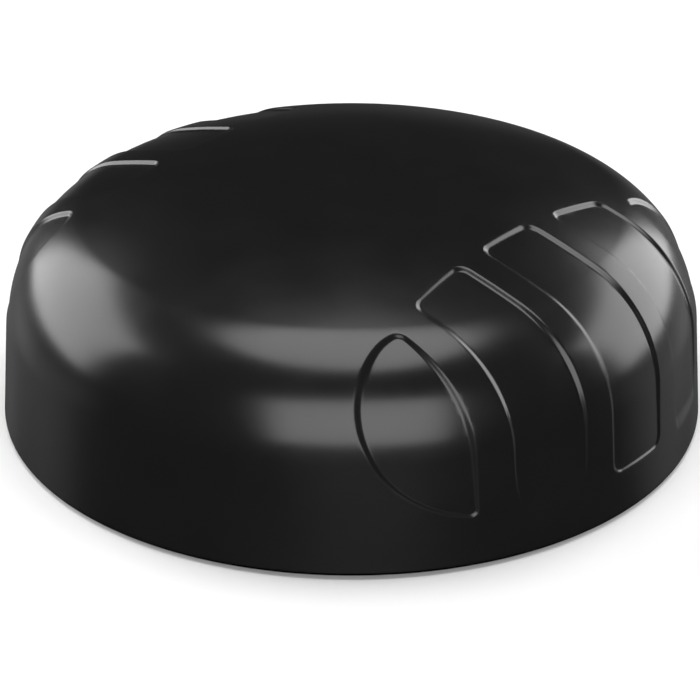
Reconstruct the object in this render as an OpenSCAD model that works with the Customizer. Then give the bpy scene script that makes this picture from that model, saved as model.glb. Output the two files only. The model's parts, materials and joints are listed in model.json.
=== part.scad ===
// GNSS receiver: a round smart antenna with a one-piece radome over a deep cast base.
// Z is the dome's axis, the plain front faces -Y, the connector bay faces +Y,
// and the recessed side panels face -X and +X. The base rests on Z = 0.

/* [Radome] */
// Diameter of the radome at its bottom rim
base_d = 155; // [140:1:170]
// Height of the crown above the resting face
dome_h = 55.8; // [53:0.1:58]
// Height of the straight drafted wall, up to the shoulder
wall_h = 24.6; // [23:0.1:25.5]
// Draft of the wall, leaning in towards the top
wall_draft = 4.4; // [3:0.1:5]
// Radius of the shoulder
shoulder_r = 25; // [22:0.5:26]
// Wall thickness of the radome
shell_t = 3; // [2.5:0.1:3.2]
// Gap between the radome's rim and the resting face
rim_gap = 0.8; // [0.5:0.1:1.5]

/* [Side panels] */
// Distance between the middles of neighbouring panels
panel_pitch = 24.2; // [22:0.1:25]
// Width of a panel
panel_w = 16.6; // [14:0.1:18]
// Depth of the panels below the radome's surface
panel_depth = 0.6; // [0.5:0.1:1.2]
// Distance from the dome's axis to the top end of the middle panel
panel_top = 41; // [38:0.5:44]
// Radius of the curve through the panels' top ends
panel_top_r = 350; // [250:10:450]
// Height of the panels' lower ends
panel_foot = 10.9; // [9:0.1:13]
// Distance from the middle panel to the middles of the two discs that bound each end panel
end_y = 37.6; // [36.5:0.1:38.5]
// Radius of the disc that bounds the end panels above
end_upper_r = 20; // [19:0.1:21]
// Height of the middle of that disc
end_upper_z = 25.8; // [25:0.1:27]
// Radius of the disc that bounds the end panels below
end_lower_r = 18.7; // [18:0.1:19.5]
// Height of the middle of that disc
end_lower_z = 30.3; // [29.5:0.1:31.5]
// Corner radius of each full panel's foot
panel_r = 3; // [1:0.5:4]

/* [Base] */
// Height of the cast base's wall, where the gasket lies
land_z = 25; // [24.5:0.1:25.5]
// Thickness of the base's floor
floor_t = 3; // [2.5:0.1:3.5]
// Thickness of the base's wall
base_t = 3; // [2.5:0.1:3.5]
// Radial play between the base and the radome's skirt
skirt_play = 0.3; // [0.2:0.05:0.4]
// Thickness of the gasket between the base and the radome
gasket_t = 1; // [0.8:0.1:1.2]

/* [Connector bay] */
// Width of the bay
bay_w = 72; // [70:1:74]
// Height of the bay's roof
bay_h = 22; // [21.5:0.1:22]
// Distance from the dome's axis to the bay's back wall
bay_y = 61; // [60:0.5:61]

/* [Mounting] */
// Radius of the pole thread at its crests, for a 5/8 inch, 11 turns per inch thread
pole_r = 6.8; // [6.7:0.05:6.9]
// Depth of the pole thread
pole_depth = 15.5; // [14:0.5:15.5]
// Diameter of the circle of threaded plate holes
plate_pcd = 70; // [68:1:72]
// Tapping radius of the plate holes, for M5
plate_hole_r = 2.1; // [2:0.05:2.2]
// Depth of the plate holes
plate_hole_depth = 8.5; // [7:0.5:8.5]

/* [Hidden] */
$fn = 96;

base_r = base_d / 2;
eps = 0.01;
ledge_z = land_z + gasket_t;

// The dome's outline: a drafted wall, a round shoulder and a wide crown, each tangent to the next.
shoulder_c = [
    base_r - wall_h * tan(wall_draft) - shoulder_r * cos(wall_draft),
    wall_h - shoulder_r * sin(wall_draft)
];
crown_rise = dome_h - shoulder_c[1];
crown_r = (pow(shoulder_c[0], 2) + pow(crown_rise, 2) - pow(shoulder_r, 2))
    / (2 * (crown_rise - shoulder_r));
crown_c = [0, dome_h - crown_r];
join_angle = atan2(shoulder_c[1] - crown_c[1], shoulder_c[0]);
crown_steps = 5;
crown_step = (90 - join_angle) / crown_steps;

// Screws that hold the radome
screw_ring_r = 64;
screw_angles = [0, 48, 132, 180, 240, 300];
screw_r = 1.95;
screw_head_r = 3.5;
screw_head_h = 4;
screw_boss_r = 4.5;
boss_drop = 0.6;
screw_seal_t = 0.8;
counterbore_r = 4.1;
counterbore_h = 8;
insert_r = 2.9;
insert_h = 8;

// Inner levels
board_z = 11;
board_t = 1.6;
board_r = 58.5;
board_top = board_z + board_t;
board_edge_y = 46;
plate_z = 30.8;
plate_t = 1.5;
plate_r = 58;
lna_z = plate_z - board_t;
lna_w = 52;
lna_can_w = 44;
lna_can_h = 4;
post_ring_r = 52;
post_r = 4;
post_hole_r = 1.25;
thread_boss_r = 15;
thread_boss_h = 19.5;
thread_insert_r = 11;
rib_end = 48;

// Antenna stack
lower_w = 72;
lower_t = 6;
upper_w = 42;
upper_t = 5;
plating_t = 0.2;
lower_z = plate_z + plate_t;
upper_z = lower_z + lower_t + plating_t;
stack_top = upper_z + upper_t + plating_t;
lower_feed_r = 29.5;
upper_feed_r = 9;
feed_pin_r = 0.65;
feed_hole_r = 0.85;
patch_screw_r = 1.5;

// Parts in the bay's back wall; x positions, with z where they differ
bay_wall_in = bay_y - base_t;
connector_x = -20;
connector_z = 11.5;
connector_r = 5.95;
connector_end = 74;
nut_relief_z = 1.9;
usb_x = 2;
usb_z = 11.5;
led_x = 21;
led_pitch = 5;
led_z = 16;
led_r = 1.5;
button_x = 21;
button_z = 8.5;
button_r = 4;
button_stem_r = 3;
vent_x = 31.5;
vent_z = 9;
vent_r = 2.9;
port_board_y = 51;
port_board_front = port_board_y + board_t;
port_posts = [[13.2, 7], [31, 17.6]];

// Service door and its hinge
door_x = [-5.4, 10.4];
door_z = [6, 17];
door_y = bay_y + 0.3;
door_t = 1.6;
hinge_x = -7.4;
hinge_y = bay_y + 1.9;
hinge_r = 1.8;
hinge_pin_r = 0.8;
hinge_play = 0.05;
ear_h = 2.4;

// Radius of the drafted wall at height z, set in by d
function wall_r(z, d) = base_r - z * tan(wall_draft) - d / cos(wall_draft);

// Points on an arc, from angle a0 to a1 in n steps
function arc(c, r, a0, a1, n) =
    [for (i = [0 : n]) let (a = a0 + (a1 - a0) * i / n) c + r * [cos(a), sin(a)]];

// Half section of the dome, set in by d, from height z up
function dome_section(d, z) = concat(
    [[0, z], [wall_r(z, d), z]],
    arc(shoulder_c, shoulder_r - d, wall_draft, join_angle, 12),
    arc(crown_c, crown_r - d, join_angle + crown_step, 90, crown_steps - 1)
);

// The turned dome, its seam on the plain front, away from the panels and the bay
module dome(d, z) {
    rotate(-90) rotate_extrude() polygon(dome_section(d, z));
}

module ring(r_out, r_in, h) {
    difference() {
        cylinder(r = r_out, h = h);
        translate([0, 0, -1]) cylinder(r = r_in, h = h + 2);
    }
}

// The radome's screws, wider apart across the bay
module screw_places() {
    for (a = screw_angles) rotate(a) translate([screw_ring_r, 0, 0]) children();
}

module round_copies(n, r, first = 0) {
    for (i = [0 : n - 1])
        rotate(first + 360 * i / n) translate([r, 0, 0]) children();
}

// Stands a part on the bay's wall: its own Z points out of the bay, along +Y
module facing_out(x, y, z) {
    translate([x, y, z]) rotate([-90, 0, 0]) children();
}

module block(x, y, z) {
    translate([x[0], y[0], z[0]]) cube([x[1] - x[0], y[1] - y[0], z[1] - z[0]]);
}

module centred_block(w, d, h) {
    translate([-w / 2, -d / 2, 0]) cube([w, d, h]);
}

// Outline of the bay seen from behind: open at the bottom, with round upper corners
module bay_outline(w, h) {
    corner_r = 5;
    translate([-w / 2, -5]) square([w, h + 5 - corner_r]);
    translate([-w / 2 + corner_r, -5]) square([w - 2 * corner_r, h + 5]);
    for (s = [-1, 1])
        translate([s * (w / 2 - corner_r), h - corner_r]) circle(r = corner_r);
}

module bay_prism(w, h, y0, y1) {
    translate([0, y1, 0]) rotate([90, 0, 0]) linear_extrude(y1 - y0) bay_outline(w, h);
}

// ---- Radome ----

// Side view of one full panel: square at the top, where the dome trims it, and round at its foot
module panel_side() {
    translate([-panel_w / 2, panel_foot + panel_r]) square([panel_w, dome_h]);
    translate([-panel_w / 2 + panel_r, panel_foot]) square([panel_w - 2 * panel_r, dome_h]);
    for (s = [-1, 1])
        translate([s * (panel_w / 2 - panel_r), panel_foot + panel_r]) circle(r = panel_r);
}

// Side view of the end panel: what two discs and the line one gap beyond its neighbour leave
module end_panel_side() {
    inner = 2 * panel_pitch - panel_w / 2;
    intersection() {
        translate([inner, 0]) square([panel_w * 2, dome_h * 2]);
        translate([end_y, end_upper_z]) circle(r = end_upper_r);
        translate([end_y, end_lower_z]) circle(r = end_lower_r);
    }
}

module panel_field_side() {
    for (i = [-1 : 1]) translate([i * panel_pitch, 0]) panel_side();
    end_panel_side();
    mirror([1, 0]) end_panel_side();
}

// What the five panels on the +X flank take off the dome
module panel_cut() {
    difference() {
        intersection() {
            rotate([90, 0, 90]) linear_extrude(base_r + 5) panel_field_side();
            translate([panel_top + panel_top_r, 0, 0]) cylinder(r = panel_top_r, h = 2 * dome_h);
        }
        dome(panel_depth, -5);
    }
}

module radome() {
    color([0.07, 0.07, 0.075]) difference() {
        union() {
            difference() {
                dome(0, rim_gap);
                dome(shell_t, rim_gap - 1);
            }
            intersection() {
                dome(shell_t / 2, rim_gap);
                union() {
                    translate([0, 0, ledge_z]) ring(base_r, 67.5, 3);
                    screw_places()
                        translate([0, 0, ledge_z - boss_drop]) cylinder(r = screw_boss_r, h = dome_h);
                }
            }
        }
        screw_places()
            translate([0, 0, ledge_z - 1]) cylinder(r = insert_r + 0.03, h = insert_h + 2);
        bay_prism(bay_w, bay_h, bay_y, base_r + 5);
        panel_cut();
        mirror([1, 0, 0]) panel_cut();
    }
}

// ---- Base and what fastens it ----

module base_shell() {
    outer = shell_t + skirt_play;
    difference() {
        cylinder(r1 = wall_r(0, outer), r2 = wall_r(land_z, outer), h = land_z);
        translate([0, 0, floor_t]) cylinder(
            r1 = wall_r(floor_t, outer + base_t),
            r2 = wall_r(land_z + 1, outer + base_t),
            h = land_z - floor_t + 1
        );
    }
}

// The walls and roof around the bay, kept inside the base's own outline
module bay_housing() {
    outer = shell_t + skirt_play;
    intersection() {
        cylinder(r1 = wall_r(0, outer), r2 = wall_r(land_z, outer), h = land_z);
        block([-bay_w / 2 - base_t, bay_w / 2 + base_t], [bay_wall_in, base_r], [0, land_z]);
    }
}

module base_bosses() {
    cylinder(r = thread_boss_r, h = thread_boss_h);
    round_copies(4, plate_pcd / 2, 45) cylinder(r = 5.5, h = board_z - 0.8);
    round_copies(4, post_ring_r, 45) cylinder(r = post_r, h = board_z);
    screw_places() cylinder(r = 5, h = land_z - 0.3);
    translate([-36, -4, 0]) centred_block(28, 28, board_z - 1.5);
    for (a = [0 : 30 : 330])
        rotate(a) block([thread_boss_r - 1, rib_end], [-1, 1], [floor_t - 1, floor_t + 3]);
}

module base_holes() {
    translate([0, 0, -1]) cylinder(r = thread_insert_r, h = pole_depth + 1.3);
    round_copies(4, plate_pcd / 2, 45)
        translate([0, 0, -1]) cylinder(r = plate_hole_r, h = plate_hole_depth + 1);
    round_copies(4, post_ring_r, 45)
        translate([0, 0, board_z - 7]) cylinder(r = post_hole_r, h = 8);
    screw_places() {
        translate([0, 0, -1]) cylinder(r = 2.2, h = land_z + 2);
        translate([0, 0, -1]) cylinder(r = counterbore_r, h = counterbore_h + 1);
    }
    translate([0, -52, -1]) centred_block(40.4, 18.4, 1.3);
}

module bay_holes() {
    block([connector_x - 7, connector_x + 7], [54.5, bay_wall_in], [nut_relief_z, floor_t + 1]);
    facing_out(connector_x, bay_wall_in - 1, connector_z) cylinder(r = 8.1, h = base_t + 2);
    block([usb_x - 4.9, usb_x + 4.9], [bay_wall_in - 1, bay_y + 1], [usb_z - 2, usb_z + 2]);
    block([usb_x - 6.5, usb_x + 6.5], [bay_y - 1.5, bay_y + 1], [usb_z - 3.3, usb_z + 3.3]);
    for (i = [-1 : 1])
        facing_out(led_x + i * led_pitch, bay_wall_in - 1, led_z)
            cylinder(r = led_r + 0.1, h = base_t + 2);
    facing_out(button_x, bay_wall_in - 1, button_z)
        cylinder(r = button_stem_r + 0.2, h = base_t + 2);
    facing_out(vent_x, bay_wall_in - 1, vent_z) cylinder(r = vent_r + 0.1, h = base_t + 2);
}

module hinge_ears() {
    for (z = [door_z[0], door_z[1] - ear_h])
        difference() {
            union() {
                translate([hinge_x, hinge_y, z]) cylinder(r = hinge_r, h = ear_h);
                block([hinge_x - hinge_r, hinge_x], [bay_y - 0.5, hinge_y], [z, z + ear_h]);
            }
            translate([hinge_x, hinge_y, z - 1])
                cylinder(r = hinge_pin_r + eps, h = ear_h + 2);
        }
}

module base_casting() {
    color([0.13, 0.13, 0.14]) {
        difference() {
            union() {
                base_shell();
                bay_housing();
                intersection() {
                    base_bosses();
                    cylinder(r = wall_r(land_z, shell_t + skirt_play + 1), h = land_z);
                }
                for (p = port_posts)
                    facing_out(p[0], port_board_front, p[1])
                        cylinder(r = 2.5, h = bay_wall_in - port_board_front + 1);
            }
            bay_prism(bay_w, bay_h, bay_y, base_r + 5);
            base_holes();
            bay_holes();
            for (p = port_posts)
                facing_out(p[0], port_board_front - 1, p[1]) cylinder(r = 0.85, h = 5.5);
        }
        hinge_ears();
    }
}

module base_gasket() {
    r_out = wall_r(land_z, shell_t + skirt_play) - 0.4;
    color([0.32, 0.33, 0.35]) translate([0, 0, land_z]) ring(r_out, r_out - 2.2, gasket_t);
}

module thread_insert() {
    color([0.72, 0.70, 0.64]) ring(thread_insert_r - 0.02, pole_r, pole_depth);
}

module radome_inserts() {
    color([0.80, 0.62, 0.28]) screw_places()
        translate([0, 0, ledge_z + 0.1]) ring(insert_r, screw_r + 0.05, insert_h);
}

module radome_screws() {
    head_z = counterbore_h - screw_seal_t - screw_head_h;
    color([0.60, 0.60, 0.62]) screw_places()
        difference() {
            union() {
                translate([0, 0, head_z]) cylinder(r = screw_head_r, h = screw_head_h);
                translate([0, 0, head_z + 1]) cylinder(r = screw_r, h = ledge_z + 7 - head_z - 1);
            }
            translate([0, 0, head_z - 1]) cylinder(r = 1.75, h = 3, $fn = 6);
        }
}

module screw_seals() {
    color([0.12, 0.12, 0.12]) screw_places()
        translate([0, 0, counterbore_h - screw_seal_t]) ring(3.8, screw_r + 0.1, screw_seal_t);
}

module rating_label() {
    color([0.78, 0.79, 0.80]) translate([0, -52, 0.1]) centred_block(40, 18, 0.2);
}

// ---- Receiver board ----

module main_board() {
    color([0.05, 0.27, 0.16]) translate([0, 0, board_z]) difference() {
        cylinder(r = board_r, h = board_t);
        translate([0, 0, -1]) cylinder(r = thread_boss_r + 2.5, h = board_t + 2);
        block([-base_r, base_r], [board_edge_y, base_r], [-1, board_t + 1]);
        round_copies(4, post_ring_r, 45) translate([0, 0, -1]) cylinder(r = 1.6, h = board_t + 2);
    }
}

// A pressed-metal can with thin walls, open underneath
module shield_can(w, d, h) {
    t = 0.3;
    difference() {
        centred_block(w, d, h);
        translate([0, 0, -1]) centred_block(w - 2 * t, d - 2 * t, h - t + 1);
    }
}

module on_board(x, y) {
    translate([x, y, board_top]) children();
}

module gnss_module_can() {
    color([0.75, 0.76, 0.78]) on_board(0, -36) shield_can(32, 32, 4.5);
}

module processor_can() {
    color([0.75, 0.76, 0.78]) on_board(-36, -4) shield_can(28, 28, 3.5);
}

module radio_module_can() {
    color([0.75, 0.76, 0.78]) on_board(36, -6) shield_can(24, 18, 3);
}

module imu_module() {
    color([0.06, 0.06, 0.06]) on_board(24, -27) centred_block(9, 9, 2.2);
}

module power_inductors() {
    color([0.16, 0.16, 0.17]) for (x = [29, 42.5]) on_board(x, 14) centred_block(12, 12, 6);
}

module power_capacitors() {
    color([0.10, 0.10, 0.12])
        for (p = [[-22, 20], [-32, 20], [-42, 20]]) on_board(p[0], p[1]) cylinder(r = 4, h = 9.5);
}

module backup_cell() {
    color([0.80, 0.80, 0.78]) on_board(8, 34) cylinder(r = 8, h = 3.2);
}

module board_header() {
    color([0.88, 0.86, 0.80]) on_board(connector_x, 40) centred_block(16, 5, 4);
}

module heat_pad() {
    color([0.55, 0.62, 0.72]) translate([-36, -4, board_z - 1.5]) centred_block(26, 26, 1.5);
}

module bluetooth_antenna() {
    color([0.92, 0.92, 0.90]) on_board(44, -24) centred_block(14, 4, 2.5);
}

module board_standoffs() {
    color([0.80, 0.62, 0.28]) round_copies(4, post_ring_r, 45)
        difference() {
            union() {
                translate([0, 0, board_top]) cylinder(r = 3.2, h = plate_z - board_top, $fn = 6);
                translate([0, 0, board_z - 6]) cylinder(r = 1.2, h = 7 + board_t);
            }
            translate([0, 0, plate_z - 6]) cylinder(r = 1.25, h = 7);
        }
}

// ---- Antenna ----

module feed_holes(h) {
    for (r = [lower_feed_r, upper_feed_r])
        round_copies(4, r, 45) translate([0, 0, -1]) cylinder(r = feed_hole_r, h = h + 2);
}

module stack_hole(h) {
    translate([0, 0, -1]) cylinder(r = patch_screw_r + 0.1, h = h + 2);
}

module ground_plate() {
    color([0.78, 0.79, 0.80]) translate([0, 0, plate_z]) difference() {
        cylinder(r = plate_r, h = plate_t);
        feed_holes(plate_t);
        stack_hole(plate_t);
        round_copies(4, post_ring_r, 45) translate([0, 0, -1]) cylinder(r = 1.6, h = plate_t + 2);
    }
}

module plate_screws() {
    color([0.70, 0.70, 0.72]) round_copies(4, post_ring_r, 45) {
        translate([0, 0, plate_z + plate_t]) cylinder(r = 2.8, h = 1.8);
        translate([0, 0, plate_z - 5]) cylinder(r = 1.2, h = 5 + plate_t);
    }
}

module lna_board() {
    color([0.05, 0.27, 0.16]) translate([0, 0, lna_z]) difference() {
        centred_block(lna_w, lna_w, board_t);
        feed_holes(board_t);
        stack_hole(board_t);
    }
}

module lna_shield() {
    color([0.75, 0.76, 0.78]) translate([0, 0, lna_z]) mirror([0, 0, 1])
        shield_can(lna_can_w, lna_can_w, lna_can_h);
}

// A square with cut corners, as on a circularly polarised patch
module patch(w, cut, h) {
    s = w / 2;
    c = s - cut;
    linear_extrude(h)
        polygon([[s, -c], [s, c], [c, s], [-c, s], [-s, c], [-s, -c], [-c, -s], [c, -s]]);
}

module lower_patch() {
    color([0.86, 0.84, 0.78]) translate([0, 0, lower_z]) difference() {
        patch(lower_w, 5, lower_t);
        feed_holes(lower_t);
        stack_hole(lower_t);
    }
}

module lower_patch_plating() {
    color([0.86, 0.86, 0.84]) translate([0, 0, lower_z + lower_t]) difference() {
        patch(lower_w - 6, 4, plating_t);
        feed_holes(plating_t);
        stack_hole(plating_t);
    }
}

module upper_patch() {
    color([0.86, 0.84, 0.78]) translate([0, 0, upper_z]) difference() {
        patch(upper_w, 3, upper_t);
        feed_holes(upper_t);
        stack_hole(upper_t);
    }
}

module upper_patch_plating() {
    color([0.86, 0.86, 0.84]) translate([0, 0, upper_z + upper_t]) difference() {
        patch(upper_w - 5, 2.5, plating_t);
        feed_holes(plating_t);
        stack_hole(plating_t);
    }
}

// Pins from the amplifier board up to a patch's plating, each with a small soldered head
module feed_pins(r, top) {
    round_copies(4, r, 45) {
        translate([0, 0, lna_z + 0.1]) cylinder(r = feed_pin_r, h = top - lna_z - 0.1);
        translate([0, 0, top]) cylinder(r = 1.2, h = 0.5);
    }
}

module lower_feed_pins() {
    color([0.80, 0.62, 0.28]) feed_pins(lower_feed_r, upper_z);
}

module upper_feed_pins() {
    color([0.80, 0.62, 0.28]) feed_pins(upper_feed_r, stack_top);
}

module patch_screw() {
    color([0.90, 0.89, 0.85]) {
        translate([0, 0, lna_z]) cylinder(r = patch_screw_r, h = stack_top - lna_z);
        translate([0, 0, stack_top]) cylinder(r = 3, h = 2);
    }
}

coax_low = [32, -17, board_top + 3.4];
coax_high = [24, -12, lna_z - 2.6];
coax_r = 0.9;
// The jumper's line: up from the board's socket, over, and up into the amplifier's socket
coax_route = [
    coax_low, [32, -17, 18], [31.6, -16.8, 19.6], [30.6, -16.2, 21], [29, -15.2, 21.9],
    [27, -13.9, 22.4], [25.2, -12.8, 22.9], [24.2, -12.1, 24], [24, -12, 25.4], coax_high
];

module coax_sockets() {
    color([0.83, 0.68, 0.33]) {
        translate([coax_low[0], coax_low[1], board_top]) cylinder(r = 1.7, h = 3.4);
        translate(coax_high) cylinder(r = 1.6, h = lna_z - coax_high[2]);
    }
}

// A round tube swept along a line of points
module sweep_tube(path, r, sides) {
    n = len(path);
    function along(i) = let (d = path[min(i + 1, n - 1)] - path[max(i - 1, 0)]) d / norm(d);
    function across(i) = let (s = cross(along(i), [0, 1, 0])) s / norm(s);
    points = [
        for (i = [0 : n - 1], k = [0 : sides - 1])
            path[i] + r * (cos(360 * k / sides) * across(i)
                + sin(360 * k / sides) * cross(across(i), along(i)))
    ];
    walls = [
        for (i = [0 : n - 2], k = [0 : sides - 1]) let (m = (k + 1) % sides)
            [i * sides + k, i * sides + m, (i + 1) * sides + m, (i + 1) * sides + k]
    ];
    ends = [[for (k = [sides - 1 : -1 : 0]) k], [for (k = [0 : sides - 1]) (n - 1) * sides + k]];
    polyhedron(points, concat(walls, ends));
}

module coax_jumper() {
    color([0.25, 0.25, 0.27]) sweep_tube(coax_route, coax_r, 8);
}

// ---- Connector bay ----

module connector_shell() {
    color([0.74, 0.73, 0.70]) facing_out(connector_x, 0, connector_z) difference() {
        union() {
            translate([0, 0, 54]) cylinder(r = 7.9, h = 8);
            translate([0, 0, bay_y + 0.6]) cylinder(r = 10, h = 2.4);
            translate([0, 0, bay_y + 1]) cylinder(r = connector_r, h = connector_end - bay_y - 1);
        }
        translate([0, 0, 53]) cylinder(r = 4.9, h = 25);
    }
}

connector_pin_places = concat(
    [for (i = [0 : 8]) 3.3 * [cos(40 * i), sin(40 * i)]],
    [for (i = [0 : 2]) 1.3 * [cos(120 * i), sin(120 * i)]]
);

module connector_insulator() {
    color([0.08, 0.08, 0.08]) facing_out(connector_x, 0, connector_z) difference() {
        translate([0, 0, 52.5]) cylinder(r = 4.85, h = 13.5);
        for (p = connector_pin_places)
            translate([p[0], p[1], 52]) cylinder(r = 0.52, h = 15, $fn = 24);
    }
}

module connector_pins() {
    color([0.85, 0.70, 0.32]) facing_out(connector_x, 0, connector_z)
        for (p = connector_pin_places)
            translate([p[0], p[1], 48.8]) cylinder(r = 0.5, h = 22.2, $fn = 24);
}

module connector_seal() {
    color([0.10, 0.10, 0.10]) facing_out(connector_x, bay_y, connector_z) ring(9.6, 8.0, 0.6);
}

module connector_nut() {
    color([0.74, 0.73, 0.70]) facing_out(connector_x, 55, connector_z) difference() {
        cylinder(r = 10.8, h = bay_wall_in - 55, $fn = 6);
        translate([0, 0, -1]) cylinder(r = 7.95, h = 6);
    }
}

module connector_board() {
    color([0.05, 0.27, 0.16]) facing_out(connector_x, 49.2, connector_z) difference() {
        centred_block(16, 14, 1.2);
        for (p = connector_pin_places)
            translate([p[0], p[1], -1]) cylinder(r = 0.55, h = 4, $fn = 24);
    }
}

// A flat cable from the small board over to the header, seen from the side as (y, z)
module connector_ribbon() {
    top = board_top + 4;
    t = 0.3;
    color([0.55, 0.42, 0.22]) translate([connector_x - 6, 0, 0]) rotate([90, 0, 90])
        linear_extrude(12) polygon([
            [49.2, top + 1.5], [49.2, top + 1.5 - t], [45.2, top + 3.4 - t], [41.6, top + 3.4 - t],
            [40.2, top + 2.2], [40.2, top], [39.8, top], [39.8, top + 2.4],
            [41.4, top + 3.4], [45.3, top + 3.4]
        ]);
}

module port_board() {
    color([0.05, 0.27, 0.16]) difference() {
        block([-4, 34], [port_board_y, port_board_front], [4.2, 20.6]);
        for (p = port_posts)
            facing_out(p[0], port_board_y - 1, p[1]) cylinder(r = 1.1, h = board_t + 2);
    }
}

module port_board_screws() {
    color([0.70, 0.70, 0.72]) for (p = port_posts)
        facing_out(p[0], port_board_y - 1.3, p[1]) {
            cylinder(r = 1.9, h = 1.3);
            translate([0, 0, 1.3]) cylinder(r = 0.8, h = board_t + 3.6);
        }
}

module usb_shell() {
    color([0.76, 0.76, 0.78]) difference() {
        block([usb_x - 4.5, usb_x + 4.5], [port_board_front, 59.3], [usb_z - 1.65, usb_z + 1.65]);
        block([usb_x - 4.2, usb_x + 4.2], [port_board_front + 1, 60], [usb_z - 1.35, usb_z + 1.35]);
    }
}

module usb_tongue() {
    color([0.06, 0.06, 0.06])
        block([usb_x - 3.3, usb_x + 3.3], [port_board_front + 1, 58.6], [usb_z - 0.35, usb_z + 0.35]);
}

module led_chips() {
    color([0.93, 0.90, 0.70]) for (i = [-1 : 1])
        facing_out(led_x + i * led_pitch, port_board_front, led_z) centred_block(1.6, 1.2, 0.8);
}

// A light pipe with a rounded front
module led_lens(i) {
    facing_out(led_x + i * led_pitch, port_board_front + 1.4, led_z) {
        cylinder(r = led_r, h = bay_y - port_board_front - 1.2);
        translate([0, 0, bay_y - port_board_front - 1.2]) intersection() {
            translate([0, 0, -2]) sphere(r = 2.5);
            cylinder(r = led_r, h = 2);
        }
    }
}

module led_lens_red() {
    color([0.75, 0.10, 0.08]) led_lens(-1);
}

module led_lens_amber() {
    color([0.90, 0.55, 0.10]) led_lens(0);
}

module led_lens_green() {
    color([0.15, 0.65, 0.20]) led_lens(1);
}

module tact_switch() {
    color([0.12, 0.12, 0.13]) facing_out(button_x, port_board_front, button_z) {
        centred_block(6, 6, 1.6);
        cylinder(r = 1.7, h = 2.3);
    }
}

module power_button() {
    color([0.20, 0.20, 0.21]) facing_out(button_x, 0, button_z) {
        translate([0, 0, 55.7]) cylinder(r = button_stem_r, h = bay_y + 1 - 55.7);
        translate([0, 0, 56.9]) cylinder(r = 4, h = 0.8);
        translate([0, 0, bay_y + 0.8]) cylinder(r1 = button_r, r2 = button_r - 0.5, h = 1.2);
    }
}

module vent_plug() {
    color([0.16, 0.16, 0.17]) facing_out(vent_x, 0, vent_z) difference() {
        union() {
            translate([0, 0, 57]) cylinder(r = vent_r, h = bay_y - 57);
            translate([0, 0, bay_y]) cylinder(r = 3.8, h = 1.6);
        }
        translate([0, 0, 56]) cylinder(r = 1.8, h = 5);
        for (a = [0 : 60 : 300])
            rotate(a) translate([2.9, 0, bay_y + 0.8]) cylinder(r = 0.4, h = 2, $fn = 24);
    }
}

module vent_membrane() {
    color([0.94, 0.94, 0.93]) facing_out(vent_x, 60.4, vent_z) cylinder(r = 1.75, h = 0.3);
}

// ---- Service door ----

module service_door() {
    knuckle = [door_z[0] + ear_h + 0.2, door_z[1] - ear_h - 0.2];
    height = knuckle[1] - knuckle[0];
    color([0.11, 0.11, 0.12]) difference() {
        union() {
            block(door_x, [door_y, door_y + door_t], door_z);
            translate([hinge_x, hinge_y, knuckle[0]]) cylinder(r = hinge_r, h = height);
            block([hinge_x, door_x[0] + 1], [door_y, door_y + door_t], knuckle);
            block([door_x[1] - 1.2, door_x[1]], [door_y + door_t - 0.5, door_y + door_t + 1], door_z);
        }
        translate([hinge_x, hinge_y, knuckle[0] - 1])
            cylinder(r = hinge_pin_r + hinge_play, h = height + 2);
    }
}

module door_seal() {
    color([0.30, 0.31, 0.33]) difference() {
        block([usb_x - 5.6, usb_x + 5.6], [door_y - 1.1, door_y], [usb_z - 2.8, usb_z + 2.8]);
        block([usb_x - 4.6, usb_x + 4.6], [door_y - 2, door_y - 0.4], [usb_z - 1.8, usb_z + 1.8]);
    }
}

module hinge_pin() {
    color([0.70, 0.70, 0.72]) translate([hinge_x, hinge_y, door_z[0] - 0.4])
        cylinder(r = hinge_pin_r, h = door_z[1] - door_z[0] + 0.8);
}

radome();
base_casting();
base_gasket();
thread_insert();
radome_inserts();
radome_screws();
screw_seals();
rating_label();
main_board();
gnss_module_can();
processor_can();
radio_module_can();
imu_module();
power_inductors();
power_capacitors();
backup_cell();
board_header();
heat_pad();
bluetooth_antenna();
board_standoffs();
ground_plate();
plate_screws();
lna_board();
lna_shield();
lower_patch();
lower_patch_plating();
upper_patch();
upper_patch_plating();
lower_feed_pins();
upper_feed_pins();
patch_screw();
coax_sockets();
coax_jumper();
connector_shell();
connector_insulator();
connector_pins();
connector_seal();
connector_nut();
connector_board();
connector_ribbon();
port_board();
port_board_screws();
usb_shell();
usb_tongue();
led_chips();
led_lens_red();
led_lens_amber();
led_lens_green();
tact_switch();
power_button();
vent_plug();
vent_membrane();
service_door();
door_seal();
hinge_pin();
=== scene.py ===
import json
import math

import bpy
import numpy as np
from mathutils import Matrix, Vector


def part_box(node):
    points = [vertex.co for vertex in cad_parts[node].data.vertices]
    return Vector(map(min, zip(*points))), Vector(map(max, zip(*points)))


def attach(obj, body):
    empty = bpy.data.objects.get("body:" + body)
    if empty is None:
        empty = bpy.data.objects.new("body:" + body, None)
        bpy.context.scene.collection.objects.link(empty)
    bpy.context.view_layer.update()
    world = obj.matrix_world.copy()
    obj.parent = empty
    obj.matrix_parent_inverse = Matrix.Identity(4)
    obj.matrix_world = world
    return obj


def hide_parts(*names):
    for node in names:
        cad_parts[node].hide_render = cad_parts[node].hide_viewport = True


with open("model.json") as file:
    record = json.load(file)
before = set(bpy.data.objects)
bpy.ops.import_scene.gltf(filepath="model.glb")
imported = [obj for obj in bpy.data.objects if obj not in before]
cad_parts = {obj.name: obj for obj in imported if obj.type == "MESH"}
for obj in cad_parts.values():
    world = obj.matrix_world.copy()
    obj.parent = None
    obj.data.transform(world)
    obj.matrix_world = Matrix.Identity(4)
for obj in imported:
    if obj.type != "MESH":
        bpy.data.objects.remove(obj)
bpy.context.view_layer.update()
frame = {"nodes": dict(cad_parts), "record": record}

# ---- The object's sizes, in metres ----

MM = 0.001
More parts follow.
